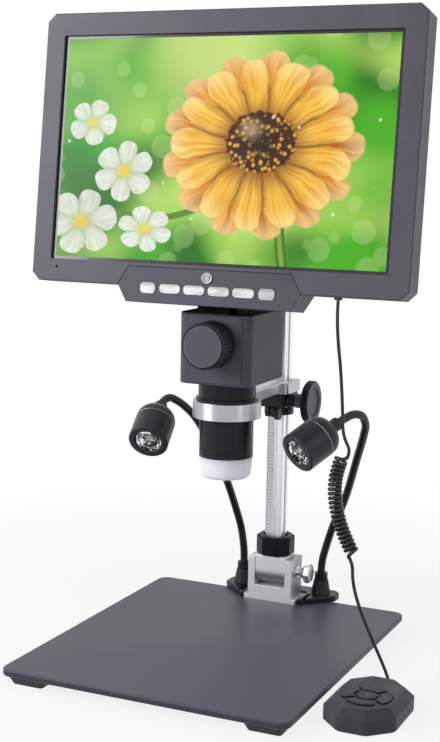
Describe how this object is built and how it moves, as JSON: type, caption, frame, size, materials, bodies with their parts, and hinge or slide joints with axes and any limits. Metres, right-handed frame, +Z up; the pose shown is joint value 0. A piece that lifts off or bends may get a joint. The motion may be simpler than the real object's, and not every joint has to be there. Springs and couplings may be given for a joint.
{
  "type": "lcd digital microscope",
  "caption": "Desktop digital microscope: tiltable screen on a camera head, rack-and-pinion column on a flat base plate, gooseneck lamps and a wired remote.",
  "frame": {"origin": "on the table, under the middle of the base plate", "axes": "+Z up along the column, +X to the user's right, -Y towards the user, who faces the screen"},
  "size_m": [0.264, 0.2272, 0.3989],
  "materials": {
    "plate_black": "satin powder coat",
    "foot_black": "matte",
    "screw_steel": "machined",
    "bracket_silver": "satin cast",
    "mount_black": "satin",
    "neck_black": "matte ribbed",
    "lamp_black": "satin",
    "led_white": "glossy",
    "lamp_glass": "clear",
    "column_silver": "anodised",
    "rack_steel": "machined",
    "knob_black": "knurled",
    "ring_silver": "satin",
    "housing_black": "fine texture",
    "camera_black": "semi-gloss",
    "tube_black": "satin",
    "cap_frosted": "frosted translucent",
    "lens_clear": "coated",
    "board_green": "solder mask",
    "bezel_black": "fine texture",
    "shell_black": "fine texture",
    "screen_glass": "lit display",
    "panel_black": "fine texture",
    "button_white": "satin",
    "button_ring": "polished",
    "remote_black": "satin",
    "key_black": "matte",
    "cord_black": "satin"
  },
  "bodies": {
    "stand": {"base_plate": "plate_black", "base_feet": "foot_black", "base_screws": "screw_steel", "yoke_bracket": "bracket_silver", "lamp_mount": "mount_black", "remote_base": "remote_black", "remote_top": "remote_black", "cord_upper": "cord_black", "cord_middle": "cord_black", "cord_coil": "cord_black", "cord_lower": "cord_black"},
    "tilting_column": {"pivot_block": "bracket_silver", "column": "column_silver", "column_rack": "rack_steel"},
    "clamp_screw": {"clamp_screw": "screw_steel"},
    "column_nut": {"column_nut": "knob_black"},
    "carriage": {"carriage": "ring_silver", "pinion_housing": "housing_black"},
    "height_knob": {"height_knob": "knob_black", "pinion_shaft": "rack_steel"},
    "limit_collar": {"limit_collar": "housing_black"},
    "collar_screw": {"collar_screw": "knob_black"},
    "camera_head": {"camera_body": "camera_black", "camera_front": "camera_black", "tube_upper": "tube_black", "tube_lower": "tube_black", "diffuser_cap": "cap_frosted", "led_ring": "led_white", "sensor_board": "board_green"},
    "focus_knob": {"focus_knob": "knob_black", "focus_shaft": "rack_steel"},
    "lens_cell": {"lens_carrier": "tube_black", "lens_glass": "lens_clear"},
    "monitor": {"monitor_bezel": "bezel_black", "monitor_rear": "shell_black", "lcd_panel": "screen_glass", "main_board": "board_green", "monitor_screws": "screw_steel", "hinge_pin": "screw_steel", "button_panel": "panel_black"},
    "button_1": {"button_1": "button_white"},
    "button_2": {"button_2": "button_white"},
    "button_3": {"button_3": "button_white"},
    "button_4": {"button_4": "button_white"},
    "button_5": {"button_5": "button_white"},
    "button_6": {"button_6": "button_white"},
    "power_button": {"power_button": "button_ring"},
    "lamp_left": {"gooseneck_left": "neck_black", "lamp_left_shell": "lamp_black", "lamp_left_led": "led_white", "lamp_left_lens": "lamp_glass"},
    "lamp_right": {"gooseneck_right": "neck_black", "lamp_right_shell": "lamp_black", "lamp_right_led": "led_white", "lamp_right_lens": "lamp_glass"},
    "key_centre": {"remote_key_centre": "key_black"},
    "key_up": {"remote_key_up": "key_black"},
    "key_down": {"remote_key_down": "key_black"},
    "key_left": {"remote_key_left": "key_black"},
    "key_right": {"remote_key_right": "key_black"}
  },
  "joints": [
    {"name": "column_tilt", "type": "hinge", "parent": "stand", "child": "tilting_column", "pos_m": [0, 0.0975, 0.0305], "axis": [1, 0, 0], "range_deg": [-12, 8], "deforming": ["cord_lower"]},
    {"name": "clamp_turn", "type": "hinge", "parent": "stand", "child": "clamp_screw", "pos_m": [0, 0.0975, 0.0305], "axis": [1, 0, 0], "range_deg": [0, 270]},
    {"name": "column_nut_turn", "type": "hinge", "parent": "tilting_column", "child": "column_nut", "pos_m": [0, 0.0975, 0.0486], "axis": [0, 0, 1], "range_deg": [0, 180]},
    {"name": "carriage_slide", "type": "slide", "parent": "tilting_column", "child": "carriage", "axis": [0, 0, 1], "range_m": [-0.05, 0.04], "deforming": ["cord_coil"]},
    {"name": "height_knob_turn", "type": "hinge", "parent": "carriage", "child": "height_knob", "pos_m": [0, 0.0882, 0.1512], "axis": [1, 0, 0], "range_deg": [-660, 825]},
    {"name": "collar_slide", "type": "slide", "parent": "tilting_column", "child": "limit_collar", "axis": [0, 0, 1], "range_m": [-0.052, 0.042]},
    {"name": "collar_screw_turn", "type": "hinge", "parent": "limit_collar", "child": "collar_screw", "pos_m": [0, 0.0839, 0.142], "axis": [1, 0, 0], "range_deg": [0, 270]},
    {"name": "head_turn", "type": "hinge", "parent": "carriage", "child": "camera_head", "pos_m": [0, 0.0103, 0.1563], "axis": [0, 0, 1], "range_deg": [-20, 20], "deforming": ["cord_middle"]},
    {"name": "focus_turn", "type": "hinge", "parent": "camera_head", "child": "focus_knob", "pos_m": [0.0012, -0.0134, 0.1992], "axis": [0, -1, 0], "range_deg": [-82, 82]},
    {"name": "lens_slide", "type": "slide", "parent": "camera_head", "child": "lens_cell", "axis": [0, 0, 1], "range_m": [-0.005, 0.005]},
    {"name": "monitor_tilt", "type": "hinge", "parent": "camera_head", "child": "monitor", "pos_m": [0, -0.0065, 0.2255], "axis": [1, 0, 0], "range_deg": [-14, 20], "deforming": ["cord_upper"]},
    {"name": "button_1_press", "type": "slide", "parent": "monitor", "child": "button_1", "axis": [0, 0.9932, -0.1167], "range_m": [0, 0.0006], "stiffness_N_per_m": 300, "springref_m": -0.0004},
    {"name": "button_2_press", "type": "slide", "parent": "monitor", "child": "button_2", "axis": [0, 0.9932, -0.1167], "range_m": [0, 0.0006], "stiffness_N_per_m": 300, "springref_m": -0.0004},
    {"name": "button_3_press", "type": "slide", "parent": "monitor", "child": "button_3", "axis": [0, 0.9932, -0.1167], "range_m": [0, 0.0006], "stiffness_N_per_m": 300, "springref_m": -0.0004},
    {"name": "button_4_press", "type": "slide", "parent": "monitor", "child": "button_4", "axis": [0, 0.9932, -0.1167], "range_m": [0, 0.0006], "stiffness_N_per_m": 300, "springref_m": -0.0004},
    {"name": "button_5_press", "type": "slide", "parent": "monitor", "child": "button_5", "axis": [0, 0.9932, -0.1167], "range_m": [0, 0.0006], "stiffness_N_per_m": 300, "springref_m": -0.0004},
    {"name": "button_6_press", "type": "slide", "parent": "monitor", "child": "button_6", "axis": [0, 0.9932, -0.1167], "range_m": [0, 0.0006], "stiffness_N_per_m": 300, "springref_m": -0.0004},
    {"name": "power_button_press", "type": "slide", "parent": "monitor", "child": "power_button", "axis": [0, 0.9932, -0.1167], "range_m": [0, 0.0006], "stiffness_N_per_m": 300, "springref_m": -0.0004},
    {"name": "lamp_left_swing", "type": "hinge", "parent": "stand", "child": "lamp_left", "pos_m": [-0.0292, 0.111, 0.0285], "axis": [0, 0, 1], "range_deg": [-25, 2]},
    {"name": "lamp_right_swing", "type": "hinge", "parent": "stand", "child": "lamp_right", "pos_m": [0.0292, 0.111, 0.0285], "axis": [0, 0, 1], "range_deg": [-2, 25]},
    {"name": "key_centre_press", "type": "slide", "parent": "stand", "child": "key_centre", "axis": [0, 0, -1], "range_m": [0, 0.0008], "stiffness_N_per_m": 300, "springref_m": -0.0004},
    {"name": "key_up_press", "type": "slide", "parent": "stand", "child": "key_up", "axis": [0, 0, -1], "range_m": [0, 0.0008], "stiffness_N_per_m": 300, "springref_m": -0.0004},
    {"name": "key_down_press", "type": "slide", "parent": "stand", "child": "key_down", "axis": [0, 0, -1], "range_m": [0, 0.0008], "stiffness_N_per_m": 300, "springref_m": -0.0004},
    {"name": "key_left_press", "type": "slide", "parent": "stand", "child": "key_left", "axis": [0, 0, -1], "range_m": [0, 0.0008], "stiffness_N_per_m": 300, "springref_m": -0.0004},
    {"name": "key_right_press", "type": "slide", "parent": "stand", "child": "key_right", "axis": [0, 0, -1], "range_m": [0, 0.0008], "stiffness_N_per_m": 300, "springref_m": -0.0004}
  ],
  "couplings": [
    {"joint": "height_knob_turn", "follows": "carriage_slide", "rad_per_m": -285.71},
    {"joint": "collar_slide", "follows": "carriage_slide", "ratio": 1},
    {"joint": "focus_turn", "follows": "lens_slide", "rad_per_m": 285.71}
  ]
}
